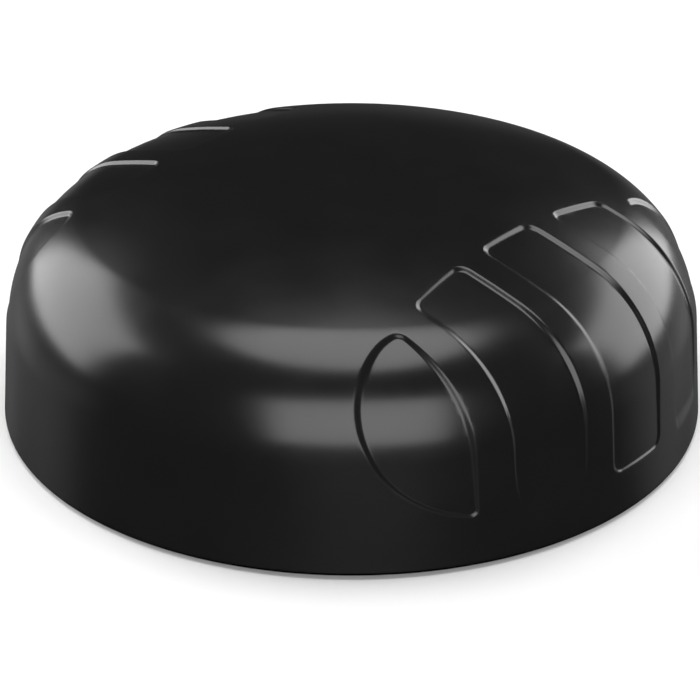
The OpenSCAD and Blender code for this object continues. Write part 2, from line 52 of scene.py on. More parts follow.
# the dome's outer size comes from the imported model, and the rest of its outline is the same there
RADOME_LOW, RADOME_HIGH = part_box("radome")
RIM_Z = RADOME_LOW.z
DOME_H = RADOME_HIGH.z
WALL_DRAFT = math.radians(4.4)
BASE_R = RADOME_HIGH.x + RIM_Z * math.tan(WALL_DRAFT)
WALL_H = 24.6 * MM
SHOULDER_R = 25 * MM
SKIN_T = 3 * MM
EDGE_R = 0.7 * MM

# the recessed panels: three full ones with an end panel on each side of them, on both flanks
PANEL_PITCH = 24.2 * MM
PANEL_W = 16.6 * MM
PANEL_DEPTH = 0.62 * MM
STEP_TOP = 1.3 * MM
STEP_FOOT = 0.85 * MM
PANEL_TOP = 41 * MM
PANEL_TOP_R = 350 * MM
PANEL_FOOT = 10.9 * MM
FADE_TOP = 36 * MM
FOOT_SHARE = 0.5
PANEL_CORNER = 2.4 * MM
END_CORNER = 1.3 * MM
END_BLEND = 1.2 * MM
SIDE_FOOT_SOFTNESS = 4
END_Y = 37.6 * MM
# height of the centre and radius of the two discs that bound an end panel, above and below
END_DISCS = ((25.8 * MM, 20.1 * MM), (30.3 * MM, 18.7 * MM))
# below these slopes, the distances along the dome are no longer corrected
LEAST_SLOPE = 0.2
LEAST_END_SLOPE = 0.35
# shares of a step at which the surface is cut, closest where it bends most
STEP_CUTS = (-0.48, -0.36, -0.2, 0, 0.2, 0.36, 0.48)

# the opening of the connector bay, in the rear wall
BAY_W = 72 * MM
BAY_H = 22 * MM
BAY_CORNER = 5 * MM

# distances used in meshing the radome: to feel for its normal, round its apex, and between points
# that count as one
PROBE = 0.02 * MM
APEX_R = 0.5 * MM
SAME_PLACE = 0.002 * MM
HALVINGS = 9

# ---- The camera and the studio ----

VIEW_AZIMUTH = math.radians(39.4)
VIEW_ELEVATION = math.radians(28.57)
CAMERA_DISTANCE = 0.561
LENS_MM = 128.1
AIM = Vector((-0.00026, -0.00022, 0.0109))
LIGHT_RADIUS = 3.0
LIGHT_CENTRE = Vector((0, 0, 0.02))
WORLD_LEVEL = 0.02
# bearing and strength of the faint glows under the side lights and the front light
GLOWS = ((-115, 0.28), (-148, 0.22), (121, 0.3), (152, 0.15), (4, 0.19))
# cosines of the angles from its bearing at which a glow ends and at which it is full
GLOW_EDGE = (0.84, 0.92)
# how far below the horizon the glows are full, as the height of a direction of length 1
GLOW_FULL_DEPTH = -0.2
FLOOR_HALF = 2.5
BACKDROP_R = 7.0


def direction(azimuth, elevation):
    """From the origin towards a bearing: azimuth 0 is the -Y side, and it grows towards +X."""
    flat = math.cos(elevation)
    return Vector((math.sin(azimuth) * flat, -math.cos(azimuth) * flat, math.sin(elevation)))


def look_at(thing, point):
    thing.rotation_euler = (point - thing.location).to_track_quat("-Z", "Y").to_euler()


def add_object(name, data):
    thing = bpy.data.objects.new(name, data)
    bpy.context.scene.collection.objects.link(thing)
    return thing


def set_range(node, low, high, to_low=0.0, to_high=1.0):
    """Sets what a Map Range node maps, and what it maps that to."""
    sockets = ("From Min", "From Max", "To Min", "To Max")
    for socket, value in zip(sockets, (low, high, to_low, to_high)):
        node.inputs[socket].default_value = value


def add_camera():
    data = bpy.data.cameras.new("camera")
    data.lens = LENS_MM
    data.sensor_width = 36
    data.clip_start = 0.01
    camera = add_object("camera", data)
    camera.location = direction(VIEW_AZIMUTH, VIEW_ELEVATION) * CAMERA_DISTANCE
    look_at(camera, AIM)
    bpy.context.scene.camera = camera


def add_softbox(name, bearing, elevation, width, height, radiance, shape="RECTANGLE"):
    """A softbox facing the object: its bearing is counted from the camera's side, in degrees, its
    width and height are the angles that it spans, and its radiance is what a mirror would show."""
    data = bpy.data.lights.new(name, "AREA")
    data.shape = shape
    data.size = 2 * LIGHT_RADIUS * math.tan(math.radians(width / 2))
    data.size_y = 2 * LIGHT_RADIUS * math.tan(math.radians(height / 2))
    area = data.size * data.size_y * (math.pi / 4 if shape == "ELLIPSE" else 1)
    data.energy = radiance * math.pi * area
    lamp = add_object(name, data)
    toward = direction(VIEW_AZIMUTH + math.radians(bearing), math.radians(elevation))
    lamp.location = LIGHT_CENTRE + toward * LIGHT_RADIUS
    look_at(lamp, LIGHT_CENTRE)
    lamp.visible_camera = False


def light_world():
    """Dark surroundings, with glows below the horizon that only the plastic's gloss picks up."""
    world = bpy.data.worlds.new("studio")
    bpy.context.scene.world = world
    world.use_nodes = True
    tree = world.node_tree
    background = tree.nodes["Background"]
    background.inputs["Color"].default_value = (1, 1, 1, 1)
    place = tree.nodes.new("ShaderNodeTexCoord").outputs["Generated"]
    split = tree.nodes.new("ShaderNodeSeparateXYZ")
    tree.links.new(place, split.inputs["Vector"])
    below = tree.nodes.new("ShaderNodeMapRange")
    tree.links.new(split.outputs["Z"], below.inputs["Value"])
    set_range(below, 0.0, GLOW_FULL_DEPTH)
    level = None
    for bearing, strength in GLOWS:
        dot = tree.nodes.new("ShaderNodeVectorMath")
        dot.operation = "DOT_PRODUCT"
        tree.links.new(place, dot.inputs[0])
        dot.inputs[1].default_value = direction(VIEW_AZIMUTH + math.radians(bearing), 0)
        lobe = tree.nodes.new("ShaderNodeMapRange")
        tree.links.new(dot.outputs["Value"], lobe.inputs["Value"])
        set_range(lobe, *GLOW_EDGE, 0.0, strength)
        if level is None:
            level = lobe.outputs["Result"]
            continue
        both = tree.nodes.new("ShaderNodeMath")
        both.operation = "ADD"
        tree.links.new(level, both.inputs[0])
        tree.links.new(lobe.outputs["Result"], both.inputs[1])
        level = both.outputs["Value"]
    glow = tree.nodes.new("ShaderNodeMath")
    glow.operation = "MULTIPLY_ADD"
    tree.links.new(level, glow.inputs[0])
    tree.links.new(below.outputs["Result"], glow.inputs[1])
    glow.inputs[2].default_value = WORLD_LEVEL
    tree.links.new(glow.outputs["Value"], background.inputs["Strength"])


def add_lights():
    add_softbox("softbox_left", -117.5, 22.5, 52, 40, 4.15)
    add_softbox("softbox_right", 121.5, 19, 56, 38, 3.85)
    add_softbox("softbox_front", 2.5, 20.5, 54, 40, 3.6)
    add_softbox("softbox_top", 180, 88.75, 47, 45.5, 3.9, "ELLIPSE")
    # this one lights the underside, through the floor
    add_softbox("softbox_below", 0, -88, 40, 40, 3.5, "ELLIPSE")


def add_floor():
    mesh = bpy.data.meshes.new("floor")
    half = FLOOR_HALF
    corners = [(-half, -half, 0), (half, -half, 0), (half, half, 0), (-half, half, 0)]
    mesh.from_pydata(corners, [], [(0, 1, 2, 3)])
    floor = add_object("floor", mesh)
    material = bpy.data.materials.new("floor_white")
    material.use_nodes = True
    tree = material.node_tree
    shader = tree.nodes["Principled BSDF"]
    shader.inputs["Base Color"].default_value = (0.9, 0.9, 0.9, 1)
    shader.inputs["Roughness"].default_value = 0.9
    mesh.materials.append(material)
    # one-sided, so that the underside of the object can be looked at from below
    side = tree.nodes.new("ShaderNodeNewGeometry")
    clear = tree.nodes.new("ShaderNodeBsdfTransparent")
    either = tree.nodes.new("ShaderNodeMixShader")
    tree.links.new(side.outputs["Backfacing"], either.inputs[0])
    tree.links.new(shader.outputs[0], either.inputs[1])
    tree.links.new(clear.outputs[0], either.inputs[2])
    tree.links.new(either.outputs[0], tree.nodes["Material Output"].inputs[0])
    # the plastic mirrors dark surroundings, as over a studio's light table
    floor.visible_glossy = False
    # the lamp below the floor shines through it
    floor.visible_shadow = False


def add_backdrop():
    """A white ball round the whole studio, which only the camera sees, so that no view is dark."""
    rows, count = 13, 24
    points = []
    for j in range(rows):
        elevation = math.pi * (j / (rows - 1) - 0.5)
        points += [direction(2 * math.pi * i / count, elevation) * BACKDROP_R for i in range(count)]
    mesh = bpy.data.meshes.new("backdrop")
    mesh.from_pydata(points, [], rings_to_faces(0, rows, count, False))
    material = bpy.data.materials.new("backdrop_white")
    material.use_nodes = True
    tree = material.node_tree
    white = tree.nodes.new("ShaderNodeEmission")
    white.inputs["Strength"].default_value = 1.0
    tree.links.new(white.outputs[0], tree.nodes["Material Output"].inputs[0])
    mesh.materials.append(material)
    backdrop = add_object("backdrop", mesh)
    for ray in ("diffuse", "glossy", "transmission", "volume_scatter", "shadow"):
        setattr(backdrop, "visible_" + ray, False)


# ---- The radome's outline ----

# radius and height of the centre of the shoulder's arc, which touches the wall and the round crown
SHOULDER_C = (
    BASE_R - WALL_H * math.tan(WALL_DRAFT) - SHOULDER_R * math.cos(WALL_DRAFT),
    WALL_H - SHOULDER_R * math.sin(WALL_DRAFT),
)
CROWN_RISE = DOME_H - SHOULDER_C[1]
CROWN_R = (SHOULDER_C[0] ** 2 + CROWN_RISE**2 - SHOULDER_R**2) / (2 * (CROWN_RISE - SHOULDER_R))
CROWN_Z = DOME_H - CROWN_R
JOIN = math.atan2(SHOULDER_C[1] - CROWN_Z, SHOULDER_C[0])
WALL_LEN = (WALL_H - RIM_Z) / math.cos(WALL_DRAFT)
SHOULDER_LEN = SHOULDER_R * (JOIN - WALL_DRAFT)
CROWN_LEN = CROWN_R * (math.pi / 2 - JOIN)
OUTLINE_LEN = WALL_LEN + SHOULDER_LEN + CROWN_LEN


def outline(s):
    """Radius, height and the normal's angle at the arc length s, from the rim up to the crown."""
    s = np.asarray(s, float)
    on_wall = s < WALL_LEN
    on_crown = s > WALL_LEN + SHOULDER_LEN
    arc = WALL_DRAFT + (s - WALL_LEN) / SHOULDER_R
    cap = JOIN + (s - WALL_LEN - SHOULDER_LEN) / CROWN_R
    angle = np.where(on_wall, WALL_DRAFT, np.where(on_crown, cap, arc))
    wall_z = RIM_Z + s * math.cos(WALL_DRAFT)
    radius = np.where(on_crown, CROWN_R * np.cos(cap), SHOULDER_C[0] + SHOULDER_R * np.cos(arc))
    radius = np.where(on_wall, BASE_R - wall_z * math.tan(WALL_DRAFT), radius)
    height = np.where(on_crown, CROWN_Z + CROWN_R * np.sin(cap), SHOULDER_C[1] + SHOULDER_R * np.sin(arc))
    height = np.where(on_wall, wall_z, height)
    return np.maximum(radius, 0), height, angle


def dome_point(uv):
    """Point and normal of the smooth dome at (azimuth, arc length) pairs."""
    radius, height, angle = outline(uv[:, 1])
    around = np.stack([np.cos(uv[:, 0]), np.sin(uv[:, 0])], 1)
    point = np.column_stack([radius[:, None] * around, height])
    normal = np.column_stack([np.cos(angle)[:, None] * around, np.sin(angle)])
    return point, normal


def rounded_min(a, b, r):
    """Distance inside two edges at once, where they meet in a corner of radius r."""
    return np.minimum(np.minimum(a, b), r - np.hypot(np.maximum(r - a, 0), np.maximum(r - b, 0)))


def blended_min(a, b, r):
    """The smaller of two distances, eased where they are nearly the same."""
    return np.minimum(a, b) - np.maximum(r - np.abs(a - b), 0) ** 2 / (4 * r)


def smooth(t):
    """A soft S from 0 to 1."""
    t = np.clip(t, 0, 1)
    return t * t * (3 - 2 * t)


def surface_slope(radius, z):
    """How much a step along the outline moves in plan and in height."""
    on_shoulder = np.arctan2(z - SHOULDER_C[1], np.maximum(radius - SHOULDER_C[0], 1e-9))
    on_crown = np.arctan2(z - CROWN_Z, radius)
    shoulder_end = SHOULDER_C[0] + SHOULDER_R * math.cos(JOIN)
    angle = np.where(z < WALL_H, WALL_DRAFT, np.where(radius > shoulder_end, on_shoulder, on_crown))
    return np.sin(angle), np.cos(angle)


def panel_rise(point):
    """0 at the panels' feet and 1 over the shoulder, where the panels are deepest."""
    return smooth((point[:, 2] - PANEL_FOOT) / (FADE_TOP - PANEL_FOOT))


def panel_share(point):
    """How far a point is through the step into a panel: -0.5 where it begins and 0.5 where it ends."""
    x, y, z = np.abs(point[:, 0]), np.abs(point[:, 1]), point[:, 2]
    # divided by the slope, a distance in plan or in height becomes a distance along the dome
    radius = np.hypot(x, y)
    slope = surface_slope(radius, z)
    top = (x - PANEL_TOP - y**2 / (2 * PANEL_TOP_R)) / np.maximum(slope[0], LEAST_SLOPE)
    foot = (z - PANEL_FOOT) / np.maximum(slope[1], LEAST_SLOPE)
    foot /= np.where(y > PANEL_PITCH / 2, SIDE_FOOT_SOFTNESS, 1)
    ends = rounded_min(top, foot, PANEL_CORNER)
    across = np.stack([PANEL_W / 2 - np.abs(y - i * PANEL_PITCH) for i in (0, 1)]).max(0)
    full = rounded_min(across, ends, PANEL_CORNER)
    off_y = y - END_Y
    inside = []
    for centre_z, disc_r in END_DISCS:
        reach = np.maximum(np.hypot(off_y, z - centre_z), 1e-9)
        stretch = np.hypot(off_y, (z - centre_z) / np.maximum(slope[1], LEAST_END_SLOPE)) / reach
        inside.append((disc_r - reach) * stretch)
    inner = y - (2 * PANEL_PITCH - PANEL_W / 2)
    end = rounded_min(inner, blended_min(*inside, END_BLEND), END_CORNER)
    return np.maximum(full, end) / (STEP_FOOT + (STEP_TOP - STEP_FOOT) * panel_rise(point))


def radome_point(uv):
    """The dome's point, sunk where it lies in a panel."""
    point, normal = dome_point(uv)
    depth = PANEL_DEPTH * (FOOT_SHARE + (1 - FOOT_SHARE) * panel_rise(point))
    sunk = depth * smooth(panel_share(point) + 0.5)
    return point - normal * sunk[:, None]


def radome_normal(uv):
    """The true normal of the stepped surface, from small steps along it."""
    radius = np.maximum(outline(uv[:, 1])[0], PROBE)
    du = np.column_stack([PROBE / radius, np.zeros(len(uv))])
    dv = np.array([[0, PROBE]])
    along_u = radome_point(uv + du) - radome_point(uv - du)
    along_v = radome_point(uv + dv) - radome_point(uv - dv)
    normal = np.cross(along_u, along_v)
    at_apex = uv[:, 1] > OUTLINE_LEN - APEX_R
    normal[at_apex] = (0, 0, 1)
    return normal / np.linalg.norm(normal, axis=1, keepdims=True)


def bay_inside(uv):
    """How far inside the bay's outline a point on the dome is, seen from behind."""
    point = dome_point(uv)[0]
    across = BAY_W / 2 + EDGE_R - np.abs(point[:, 0])
    below = BAY_H + EDGE_R - point[:, 2]
    inside = rounded_min(across, below, BAY_CORNER + EDGE_R)
    return np.where(point[:, 1] > 0, inside, -1.0)


# ---- Cutting the surface's grid along lines of equal distance ----


def cut_faces(uv, faces, field, level, keep_low_side=False):
    """Splits every face that the line field == level crosses, and may drop what is on its high side.
    uv is a growing list of points."""
    value = field(np.array(uv)) - level
    cuts = {}

    def crossing(a, b):
        key = (min(a, b), max(a, b))
        if key not in cuts:
            p, q = np.array(uv[key[0]]), np.array(uv[key[1]])
            lo, hi = 0.0, 1.0
            low_value = value[key[0]]
            for _ in range(HALVINGS):
                mid = (lo + hi) / 2
                if (field((p + (q - p) * mid)[None])[0] - level) * low_value > 0:
                    lo = mid
                else:
                    hi = mid
            uv.append(tuple(p + (q - p) * (lo + hi) / 2))
            cuts[key] = len(uv) - 1
        return cuts[key]

    out = []
    for face in faces:
        high = [value[i] > 0 for i in face]
        if all(high) or not any(high):
            if not (keep_low_side and all(high)):
                out.append(face)
            continue
        loop, marks = [], []
        for k, a in enumerate(face):
            b = face[(k + 1) % len(face)]
            loop.append(a)
            if high[k] != high[(k + 1) % len(face)]:
                marks.append(len(loop))
                loop.append(crossing(a, b))
        if len(marks) != 2:
            out.append(loop)
            continue
        i, j = marks
        for part in (loop[i : j + 1], loop[j:] + loop[: i + 1]):
            side = [v for v in part if v < len(value)]
            if not (keep_low_side and side and all(value[v] > 0 for v in side)):
                out.append(part)
    return out


def grid_lines(stops):
    """Lines from (start, step) pairs: each stretch runs to the next start in steps of about that size."""
    lines = [stops[0][0]]
    for (start, step), (end, _) in zip(stops, stops[1:]):
        count = max(1, round((end - start) / step))
        lines += [start + (end - start) * i / count for i in range(1, count + 1)]
    return lines


def radome_grid():
    turn = math.radians(1)
    # fine over the panels on both flanks, coarse over the front and the rear; the seam is in front
    around = grid_lines(
        [
            (-90 * turn, 2 * turn),
            (-54 * turn, 0.7 * turn),
            (54 * turn, 1.2 * turn),
            (126 * turn, 0.7 * turn),
            (234 * turn, 2 * turn),
            (270 * turn, 1),
        ]
    )
    # finest from the panels' feet to just above the shoulder
    up = grid_lines(
        [
            (EDGE_R, 1.5 * MM),
            (8 * MM, 0.9 * MM),
            (WALL_LEN + SHOULDER_LEN + 10 * MM, 2.4 * MM),
            (OUTLINE_LEN, 1),
        ]
    )
    uv = [(u, v) for v in up for u in around]
    row = len(around)
    faces = [
        [j * row + i, j * row + i + 1, (j + 1) * row + i + 1, (j + 1) * row + i]
        for j in range(len(up) - 1)
        for i in range(row - 1)
    ]
    return uv, faces


def merge_points(points, faces):
    """Joins points in the same place, so that the seam and the crown close."""
    keys = np.round(points / SAME_PLACE).astype(np.int64)
    _, first, back = np.unique(keys, axis=0, return_index=True, return_inverse=True)
    back = back.reshape(-1)
    merged = []
    for face in faces:
        loop = [int(back[i]) for i in face]
        loop = [a for k, a in enumerate(loop) if a != loop[k - 1]]
        if len(set(loop)) > 2:
            merged.append(loop)
    return first, merged


def boundary_loops(faces):
    """The open edges, chained into closed loops that run with the faces' own direction."""
    directed = {(a, b) for face in faces for a, b in zip(face, face[1:] + face[:1])}
    after = {a: b for a, b in directed if (b, a) not in directed}
    loops = []
    while after:
        start = next(iter(after))
        loop = [start]
        nxt = after.pop(start)
        while nxt != start:
            loop.append(nxt)
            nxt = after.pop(nxt)
        loops.append(loop)
    return loops


def edge_ring_profile():
    """The rolled edge of a wall: (outwards, inwards) offsets from the skin's border to its inner side."""
    turns = 5
    quarter = [math.pi / 2 * i / turns for i in range(1, turns + 1)]
    outer = [(EDGE_R * math.sin(a), EDGE_R * (1 - math.cos(a))) for a in quarter]
    inner = [(EDGE_R * math.cos(a), SKIN_T - EDGE_R + EDGE_R * math.sin(a)) for a in quarter]
    return outer + [(EDGE_R, SKIN_T - EDGE_R)] + inner


def radome_skin():
    """The (azimuth, arc length) points of the outer skin, cut along the panels' steps, and its faces."""
    uv, faces = radome_grid()
    for share in STEP_CUTS:
        faces = cut_faces(uv, faces, lambda p: panel_share(dome_point(p)[0]), share)
    faces = cut_faces(uv, faces, bay_inside, 0, keep_low_side=True)
    uv = np.array(uv)
    first, faces = merge_points(dome_point(uv)[0], faces)
    used = sorted({i for face in faces for i in face})
    number = {old: new for new, old in enumerate(used)}
    return uv[first[used]], [[number[i] for i in face] for face in faces]


def ring_between(before, after):
    """Faces from one ring of points to the next, seen from outside the wall."""
    n = len(before)
    return [[before[(i + 1) % n], after[(i + 1) % n], after[i], before[i]] for i in range(n)]


def build_radome():
    """The stepped outer skin, the plain inner skin and the rolled edges that join them."""
    uv, faces = radome_skin()
    points, smooth_normals = dome_point(uv)
    skin, count = radome_point(uv), len(uv)
    all_points = [skin, points - smooth_normals * SKIN_T]
    all_normals = [radome_normal(uv), -smooth_normals]
    all_faces = faces + [[i + count for i in reversed(face)] for face in faces]
    total = 2 * count
    for loop in boundary_loops(faces):
        here, out = skin[loop], smooth_normals[loop]
        away = np.cross(np.roll(here, -1, 0) - np.roll(here, 1, 0), out)
        away /= np.linalg.norm(away, axis=1, keepdims=True)
        previous = list(loop)
        for outwards, inwards in edge_ring_profile()[:-1]:
            # the rolled edge turns from the outer skin's normal to the inner skin's
            at_skin = 1 - inwards / EDGE_R if inwards <= EDGE_R else (SKIN_T - inwards) / EDGE_R - 1
            lean = away * (outwards / EDGE_R) + out * at_skin
            all_points.append(here + away * outwards - out * inwards)
            all_normals.append(lean / np.linalg.norm(lean, axis=1, keepdims=True))
            ring = list(range(total, total + len(loop)))
            all_faces += ring_between(previous, ring)
            previous, total = ring, total + len(loop)
        all_faces += ring_between(previous, [i + count for i in loop])
    mesh = bpy.data.meshes.new("radome_shell")
    mesh.from_pydata(np.vstack(all_points).tolist(), [], all_faces)
    mesh.shade_smooth()
    mesh.normals_split_custom_set_from_vertices(np.vstack(all_normals).tolist())
    mesh.materials.append(LIBRARY["radome_plastic"])
    return add_object("radome_shell", mesh)


# ---- Small pieces ----

# The sizes in this section are in millimetres, except where a function says otherwise.

X_AXIS, Y_AXIS, Z_AXIS = np.eye(3)
SHARP_ANGLE = math.radians(35)
LEAST_CORNER = 0.02
# how much of a slab's inset its corner radius loses
CORNER_SHARE = 0.6


def add_piece(name, points, faces, nodes, body, slot):
    """A finished piece from points in metres, which stands in for the given CAD nodes."""
    mesh = bpy.data.meshes.new(name)
    mesh.from_pydata([tuple(p) for p in points], [], faces)
    mesh.shade_smooth()
    mesh.set_sharp_from_angle(angle=SHARP_ANGLE)
    mesh.materials.append(LIBRARY[slot])
    piece = add_object(name, mesh)
    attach(piece, body)
    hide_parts(*nodes)


def rings_to_faces(start, rings, count, closed):
    """Quads between successive rings of points, and from the last ring to the first when closed."""
    faces = []
    for j in range(rings if closed else rings - 1):
        a, b = start + j * count, start + (j + 1) % rings * count
        for i in range(count):
            k = (i + 1) % count
            faces.append([a + i, a + k, b + k, b + i])
    return faces


def turned(rows, centre, side, up, out, count, start=0):
    """A closed turned part, in metres. Each row is (radius, height, thread depth, thread pitch)."""
    angles = np.linspace(0, 2 * math.pi, count, endpoint=False)
    points = []
    for radius, height, depth, pitch in rows:
        reach = np.full(count, radius)
        if pitch:
            phase = (height / pitch - angles / (2 * math.pi)) % 1
            # straight flanks between a flat crest and a flat root
            reach = radius - depth * np.clip(2.4 * np.abs(2 * phase - 1) - 0.7, 0, 1)
        around = np.outer(np.cos(angles) * reach, side) + np.outer(np.sin(angles) * reach, up)
        points.append(np.asarray(centre) + around + height * np.asarray(out))
    return np.vstack(points), rings_to_faces(start, len(rows), count, True)


def plain_rows(pairs):
    """Rows for turned() without a thread, from (radius, height) pairs."""
    return [(radius * MM, height * MM, 0.0, 0.0) for radius, height in pairs]


def thread_rows(radius, low, high, depth, pitch, steps=9):
    """Rows for turned() of a thread between two heights, which runs out softly at both ends."""
    count = round((high - low) / pitch * steps)
    rows = []
    for i in range(count + 1):
        height = low + (high - low) * i / count
        fade = min(1.0, (height - low) / pitch * 2, (high - height) / pitch * 2)
        rows.append((radius * MM, height * MM, depth * fade * MM, pitch * MM))
    return rows


def rounded_loop(half_w, half_h, corner, steps=6):
    """Points of a rectangle with round corners, counter-clockwise."""
    corner = max(corner, LEAST_CORNER)
    loop = []
    for quarter, (sx, sy) in enumerate(((1, 1), (-1, 1), (-1, -1), (1, -1))):
        x, y = sx * (half_w - corner), sy * (half_h - corner)
        for i in range(steps + 1):
            a = math.pi / 2 * (quarter + i / steps)
            loop.append((x + corner * math.cos(a), y + corner * math.sin(a)))
    return loop


def stacked_loops(half_w, half_h, corner, corner_share, rows, centre, side, up, out):
    """Rounded rectangles at the rows' insets and heights, as points in metres."""
    points = []
    for inset, height in rows:
        for u, v in rounded_loop(half_w - inset, half_h - inset, corner - inset * corner_share):
            points.append((np.asarray(centre) + u * side + v * up + height * out) * MM)
    return np.array(points), len(points) // len(rows)


def slab(half_w, half_h, corner, rows, centre, side, up, out, start=0):
    """A closed slab. Each row is (inset, height), from its back to its front."""
    points, count = stacked_loops(half_w, half_h, corner, CORNER_SHARE, rows, centre, side, up, out)
    faces = rings_to_faces(start, len(rows), count, False)
    faces.append([start + i for i in reversed(range(count))])
    faces.append([start + (len(rows) - 1) * count + i for i in range(count)])
    return points, faces


def tube(half_w, half_h, corner, rows, centre, side, up, out):
    """A closed sleeve. Each row is (inset, height), up its outside and back down its inside."""
    points, count = stacked_loops(half_w, half_h, corner, 1, rows, centre, side, up, out)
    return points, rings_to_faces(0, len(rows), count, True)


def joined(*makers):
    """Runs each maker with the number of points so far, and joins what they give."""
    points, faces = [], []
    for maker in makers:
        more, loops = maker(sum(len(p) for p in points))
        points.append(more)
        faces += loops
    return np.vstack(points), faces


def box_mm(node):
    """The lowest and the highest corner of a CAD node."""
    low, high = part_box(node)
    return np.array(low) / MM, np.array(high) / MM


def middle(node):
    """The middle of a CAD node, in metres."""
    low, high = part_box(node)
    return np.array((low + high) / 2)


def build_connector():
    """Its shell with a real thread, a flange with broken edges and a lead-in at the mouth."""
    end = box_mm("connector_shell")[1][1]
    outside = [
        (4.9, end - 20.6), (7.6, end - 20), (7.9, end - 19.7), (7.9, end - 12.4),
        (9.6, end - 12.4), (9.9, end - 12.3), (10, end - 12), (10, end - 10.4),
        (9.9, end - 10.15), (9.6, end - 10), (6.2, end - 10), (5.4, end - 9.8),
        (5.35, end - 9.2), (5.4, end - 9.0),
    ]
    mouth = [
        (5.9, end - 0.7), (5.5, end - 0.15), (5.35, end),
        (5.15, end), (4.95, end - 0.2), (4.9, end - 0.5),
    ]
    thread = thread_rows(5.95, end - 8.9, end - 0.9, 0.55, 1.0)
    rows = plain_rows(outside) + thread + plain_rows(mouth)
    at = middle("connector_shell") * (1, 0, 1)
    points, faces = turned(rows, at, Z_AXIS, X_AXIS, Y_AXIS, 96)
    add_piece("connector_barrel", points, faces, ["connector_shell"], "housing", "nickel_plate")


def build_pole_thread():
    """The stainless insert, with a 5/8 inch, 11 turns per inch thread and a countersunk mouth."""
    top = box_mm("thread_insert")[1][2]
    outside = [(10.6, 0), (10.9, 0.1), (10.98, 0.35), (10.98, top - 0.3), (10.7, top), (8.2, top)]
    mouth = [(7.95, 1.0), (8.5, 0.15), (8.7, 0)]
    bore = thread_rows(7.94, 1.1, top - 0.4, 1.14, 2.309)[::-1]
    rows = plain_rows(outside) + bore + plain_rows(mouth)
    points, faces = turned(rows, (0, 0, 0), Y_AXIS, X_AXIS, Z_AXIS, 96)
    add_piece("pole_insert", points, faces, ["thread_insert"], "housing", "stainless_steel")


def build_door():
    """The service door: a panel with a shallow field, a finger lip and its hinge knuckle."""
    low, high = box_mm("service_door")
    knuckle_r, half_knuckle = 1.8, 2.85
    hinge_x, hinge_y = low[0] + knuckle_r, low[1] + knuckle_r
    panel_low = hinge_x + 2.0
    back, lip = low[1] + 0.2, high[1]
    front = lip - 1.0
    panel_x, middle_z = (panel_low + high[0]) / 2, (low[2] + high[2]) / 2
    half_w, half_h = (high[0] - panel_low) / 2, (high[2] - low[2]) / 2
    panel_rows = [
        (0.25, back), (0.05, back + 0.08), (0, back + 0.25), (0, front - 0.35),
        (0.12, front - 0.1), (0.35, front), (1.5, front), (1.65, front - 0.06), (1.75, front - 0.22),
    ]
    lip_rows = [(0.1, front - 0.6), (0, front - 0.4), (0, lip - 0.3), (0.1, lip - 0.1), (0.28, lip)]
    # the leaf joins the panel to the knuckle and stays clear of the hinge pin inside it
    leaf_rows = [(0.15, back), (0, back + 0.15), (0, front - 0.15), (0.15, front)]
    knuckle = [
        (0.86, -half_knuckle), (1.6, -half_knuckle), (knuckle_r, 0.2 - half_knuckle),
        (knuckle_r, half_knuckle - 0.2), (1.6, half_knuckle), (0.86, half_knuckle),
    ]
    faced = (-X_AXIS, Z_AXIS, Y_AXIS)
    panel_at = (panel_x, 0, middle_z)
    lip_at = (high[0] - 0.6, 0, middle_z)
    leaf_at = (hinge_x + 1.75, 0, middle_z)
    hinge_at = np.array([hinge_x, hinge_y, middle_z]) * MM
    points, faces = joined(
        lambda n: slab(half_w, half_h, 1.3, panel_rows, panel_at, *faced, n),
        lambda n: slab(0.6, half_h - 0.3, 0.55, lip_rows, lip_at, *faced, n),
        lambda n: slab(0.85, 2.8, 0.2, leaf_rows, leaf_at, *faced, n),
        lambda n: turned(plain_rows(knuckle), hinge_at, X_AXIS, -Y_AXIS, Z_AXIS, 48, n),
    )
    add_piece("service_door_panel", points, faces, ["service_door"], "service_door", "door_plastic")


def build_button():
    """The power button: a dished cap with a soft edge, on its stem."""
    end = box_mm("power_button")[1][1]
    stem = [
        (0.02, end - 7.3), (3.0, end - 7.3), (3.0, end - 6.1), (4.0, end - 6.1),
        (4.0, end - 5.3), (3.0, end - 5.3), (3.0, end - 1.2),
    ]
    cap = [
        (3.9, end - 1.2), (4.0, end - 1.1), (4.0, end - 0.55), (3.9, end - 0.25),
        (3.7, end - 0.06), (3.45, end), (3.0, end - 0.03), (2.7, end - 0.16),
        (2.4, end - 0.28), (1.5, end - 0.38), (0.02, end - 0.42),
    ]
    at = middle("power_button") * (1, 0, 1)
    points, faces = turned(plain_rows(stem + cap), at, Z_AXIS, X_AXIS, Y_AXIS, 72)
    add_piece("power_button_cap", points, faces, ["power_button"], "power_button", "button_plastic")


def build_usb_shell():
    """The drawn shell of the port, with its round ends."""
    low, high = box_mm("usb_shell")
    half, back, front = (high - low) / 2, low[1], high[1]
    rows = [
        (0, back), (0, front - 0.12), (0.05, front - 0.03), (0.12, front),
        (0.2, front), (0.28, front - 0.06), (0.3, front - 0.15), (0.3, back),
    ]
    at = middle("usb_shell") / MM * (1, 0, 1)
    points, faces = tube(half[0], half[2], 1.6, rows, at, -X_AXIS, Z_AXIS, Y_AXIS)
    add_piece("usb_port_shell", points, faces, ["usb_shell"], "housing", "tinned_can")


def build_label():
    """The blank rating label, a film with round corners."""
    low, high = box_mm("rating_label")
    half = (high - low) / 2
    rows = [(0.05, low[2]), (0, low[2] + 0.04), (0, high[2])]
    at = middle("rating_label") / MM * (1, 1, 0)
    points, faces = slab(half[0], half[1], 1.5, rows, at, X_AXIS, Y_AXIS, Z_AXIS)
    add_piece("blank_label", points, faces, ["rating_label"], "housing", "label_film")


# ---- Materials ----

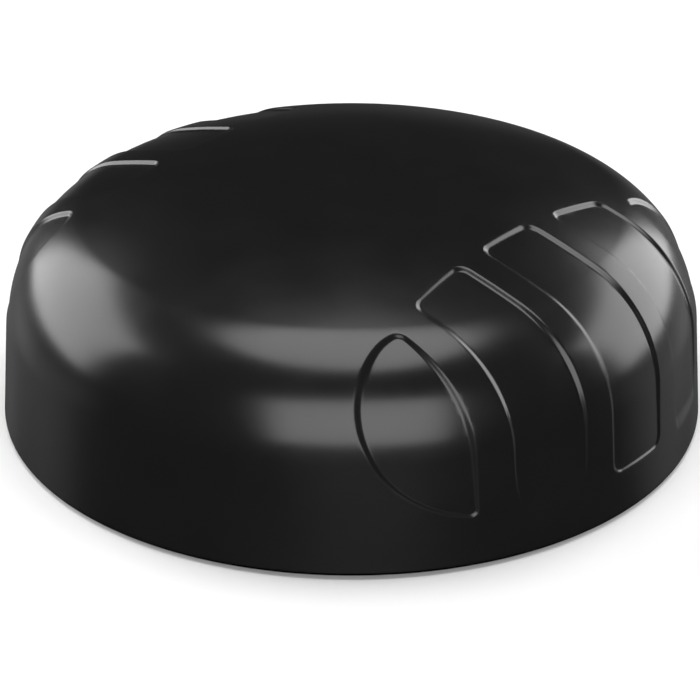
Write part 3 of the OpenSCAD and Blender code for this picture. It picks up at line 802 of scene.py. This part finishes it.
# scales of the noise, and the levels between which it turns from one look into the other
CLOUD_SCALE = 90.0
CLOUD_RANGE = (0.3, 0.7)
WEAR_SCALE = 600.0
WEAR_RANGE = (0.35, 0.6)
SPECK_RANGE = (0.72, 0.78)
BUMP_DISTANCE = 0.05 * MM
# cosines between the softened and the true normal where wear begins and where it is full
EDGE_RANGE = (0.985, 0.85)
BRUSHED = (1, 1, 14)
LIBRARY = {}


class Nodes:
    """A short way to write a node material."""

    def __init__(self, name):
        self.material = bpy.data.materials.new(name)
        self.material.use_nodes = True
        self.tree = self.material.node_tree
        self.shader = self.tree.nodes["Principled BSDF"]
        place = self.tree.nodes.new("ShaderNodeTexCoord")
        self.place = place.outputs["Object"]

    def add(self, kind, links=(), **values):
        """A node with its settings, and (socket, source) links into it."""
        node = self.tree.nodes.new("ShaderNode" + kind)
        for key, value in values.items():
            if hasattr(node, key):
                setattr(node, key, value)
            else:
                node.inputs[key.replace("_", " ")].default_value = value
        for socket, source in links:
            self.tree.links.new(source, node.inputs[socket])
        return node

    def into_shader(self, socket, source):
        self.tree.links.new(source, self.shader.inputs[socket])

    def noise(self, scale, detail, stretch=None):
        place = self.place
        if stretch:
            place = self.add("Mapping", [("Vector", place)], Scale=stretch).outputs["Vector"]
        return self.add("TexNoise", [("Vector", place)], Scale=scale, Detail=detail).outputs["Fac"]

    def map_range(self, source, low, high, to_low=0.0, to_high=1.0):
        node = self.add("MapRange", [("Value", source)])
        set_range(node, low, high, to_low, to_high)
        return node.outputs["Result"]

    def times(self, a, b):
        return self.add("Math", [(0, a), (1, b)], operation="MULTIPLY").outputs["Value"]

    def mix(self, share, a, b):
        """Mixes two colours, each a plain triple or a socket."""
        node = self.add("Mix", [("Factor", share)], data_type="RGBA")
        for socket, value in ((6, a), (7, b)):
            if isinstance(value, tuple):
                node.inputs[socket].default_value = (*value, 1)
            else:
                self.tree.links.new(value, node.inputs[socket])
        return node.outputs[2]

    def edges(self, width):
        """1 on edges sharper than the given radius in metres, and 0 on flat faces."""
        soft = self.add("Bevel", samples=4, Radius=width).outputs["Normal"]
        true = self.add("NewGeometry").outputs["Normal"]
        dot = self.add("VectorMath", [(0, soft), (1, true)], operation="DOT_PRODUCT").outputs["Value"]
        return self.map_range(dot, *EDGE_RANGE)


def shade(colour, factor):
    return tuple(min(1.0, c * factor) for c in colour)


def surface(slot, colour, rough, vary=0.15, grain=2600.0, bump=0.06, stretch=None, wear=None,
            rounding=0.0, specks=None, lines=None, **sockets):
    """A material with clouded colour and roughness, fine grain, and worn or speckled parts.

    The roughness clouds between the two values in rough, and the colour by the share in vary. grain
    and bump are the scale and the strength of the relief. wear is a colour and an edge's width, and
    specks and lines are each a colour, a scale and a share."""
    n = Nodes(slot)
    for key, value in sockets.items():
        n.shader.inputs[key.replace("_", " ")].default_value = value
    cloud = n.noise(CLOUD_SCALE, 4.0, stretch)
    base = n.mix(cloud, shade(colour, 1 - vary), shade(colour, 1 + vary))
    roughness = n.map_range(cloud, *CLOUD_RANGE, *rough)
    if specks:
        speck_colour, scale, share = specks
        spots = n.map_range(n.noise(scale, 2.0), *(level - share for level in SPECK_RANGE))
        base = n.mix(spots, base, speck_colour)
    if lines:
        line_colour, scale, share = lines
        cells = n.add(
            "TexVoronoi", [("Vector", n.place)],
            feature="DISTANCE_TO_EDGE", distance="MANHATTAN", Scale=scale,
        )
        tracks = n.map_range(cells.outputs["Distance"], share, share * 0.7)
        base = n.mix(tracks, base, line_colour)
    if wear:
        wear_colour, width = wear
        worn = n.times(n.edges(width), n.map_range(n.noise(WEAR_SCALE, 5.0), *WEAR_RANGE))
        base = n.mix(worn, base, wear_colour)
    n.into_shader("Base Color", base)
    n.into_shader("Roughness", roughness)
    height = n.noise(grain, 3.0, stretch)
    relief = n.add("Bump", [("Height", height)], Strength=bump, Distance=BUMP_DISTANCE)
    if rounding:
        soft = n.add("Bevel", samples=4, Radius=rounding).outputs["Normal"]
        n.tree.links.new(soft, relief.inputs["Normal"])
    n.into_shader("Normal", relief.outputs["Normal"])
    LIBRARY[slot] = n.material


def make_plastics():
    moulded = dict(
        rough=(0.38, 0.52), grain=2400.0, bump=0.15,
        wear=((0.05, 0.05, 0.052), 0.2 * MM), rounding=0.2 * MM,
    )
    white = dict(rough=(0.4, 0.55), vary=0.05, bump=0.08)
    lens = dict(
        rough=(0.06, 0.12), vary=0.1, grain=800.0, bump=0.02, Transmission_Weight=0.35, IOR=1.49,
    )
    surface("radome_plastic", (0.0062, 0.0062, 0.0064), (0.215, 0.25), 0.1, 2600.0, 0.05)
    surface("door_plastic", (0.014, 0.014, 0.0145), **moulded)
    surface("vent_plastic", (0.02, 0.02, 0.021), **moulded)
    surface("button_plastic", (0.03, 0.03, 0.032), (0.5, 0.66), 0.2, 2000.0, 0.2,
            wear=((0.07, 0.07, 0.072), 0.2 * MM))
    surface("cream_plastic", (0.75, 0.71, 0.6), **white)
    surface("vent_film", (0.85, 0.85, 0.84), **white)
    surface("label_film", (0.5, 0.51, 0.52), (0.42, 0.58), 0.06, 1200.0, 0.1, (1, 12, 1))
    surface("flex_film", (0.4, 0.24, 0.07), (0.25, 0.4), 0.1, 900.0, 0.05,
            lines=((0.5, 0.28, 0.1), 700.0, 0.1))
    surface("red_lens", (0.55, 0.03, 0.02), **lens)
    surface("amber_lens", (0.75, 0.33, 0.02), **lens)
    surface("green_lens", (0.05, 0.4, 0.07), **lens)


def make_rubbers():
    rubber = dict(rough=(0.6, 0.8), grain=1800.0, bump=0.2, vary=0.2)
    surface("grey_rubber", (0.1, 0.1, 0.11), **rubber)
    surface("black_rubber", (0.02, 0.02, 0.02), **rubber)
    surface("heat_pad_blue", (0.25, 0.33, 0.48), **rubber)
    surface("cable_sheath", (0.04, 0.04, 0.045), **rubber)


def make_metals():
    steel = dict(
        rough=(0.2, 0.34), Metallic=1.0, vary=0.08, grain=1500.0, stretch=BRUSHED, rounding=0.15 * MM,
    )
    tin = dict(rough=(0.28, 0.42), Metallic=1.0, vary=0.1, grain=900.0, bump=0.1, rounding=0.2 * MM)
    surface("black_casting", (0.012, 0.012, 0.0125), (0.42, 0.56), 0.25, 3000.0, 0.35,
            wear=((0.06, 0.06, 0.062), 0.3 * MM), rounding=0.4 * MM)
    surface("stainless_steel", (0.55, 0.55, 0.56), **steel)
    surface("cell_steel", (0.65, 0.65, 0.64), **steel)
    surface("brass", (0.78, 0.58, 0.24), **steel)
    surface("tinned_can", (0.62, 0.62, 0.63), **tin)
    surface("nickel_plate", (0.5, 0.485, 0.46), (0.16, 0.3), 0.1, 1200.0, 0.06,
            wear=((0.62, 0.55, 0.4), 0.12 * MM), Metallic=1.0)
    surface("silver_plating", (0.75, 0.74, 0.71), (0.35, 0.5), 0.08, 1600.0, 0.12, Metallic=1.0)
    surface("plate_aluminium", (0.7, 0.7, 0.71), (0.3, 0.44), 0.08, 1400.0, 0.1, (16, 1, 1),
            Metallic=1.0)
    surface("gold_contacts", (0.8, 0.6, 0.25), (0.16, 0.28), 0.08, 1500.0, 0.05, Metallic=1.0)


def make_electronics():
    surface("circuit_board", (0.02, 0.13, 0.06), (0.3, 0.45), 0.15, 1500.0, 0.1,
            lines=((0.04, 0.24, 0.11), 260.0, 0.06), specks=((0.6, 0.5, 0.25), 500.0, 0.02))
    surface("black_package", (0.02, 0.02, 0.02), (0.5, 0.65), 0.2, 2600.0, 0.2,
            specks=((0.035, 0.035, 0.035), 2400.0, 0.12))
    surface("capacitor_sleeve", (0.03, 0.03, 0.05), (0.25, 0.35), 0.15, 900.0, 0.08)
    surface("patch_ceramic", (0.7, 0.66, 0.56), (0.5, 0.7), 0.08, 2600.0, 0.2,
            specks=((0.5, 0.46, 0.38), 1800.0, 0.1))


def put_on_materials():
    """Each CAD node takes the material that its slot names."""
    slots = {part["node"]: part["material_slot"] for part in frame["record"]["subparts"]}
    for node, thing in frame["nodes"].items():
        for place in thing.material_slots:
            place.material = LIBRARY[slots[node]]


# ---- Putting it together ----

add_camera()
light_world()
add_lights()
add_floor()
add_backdrop()
make_plastics()
make_rubbers()
make_metals()
make_electronics()
put_on_materials()
radome = build_radome()
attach(radome, "housing")
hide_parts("radome")
build_connector()
build_pole_thread()
build_door()
build_button()
build_usb_shell()
build_label()
bpy.context.scene.view_settings.view_transform = "Standard"
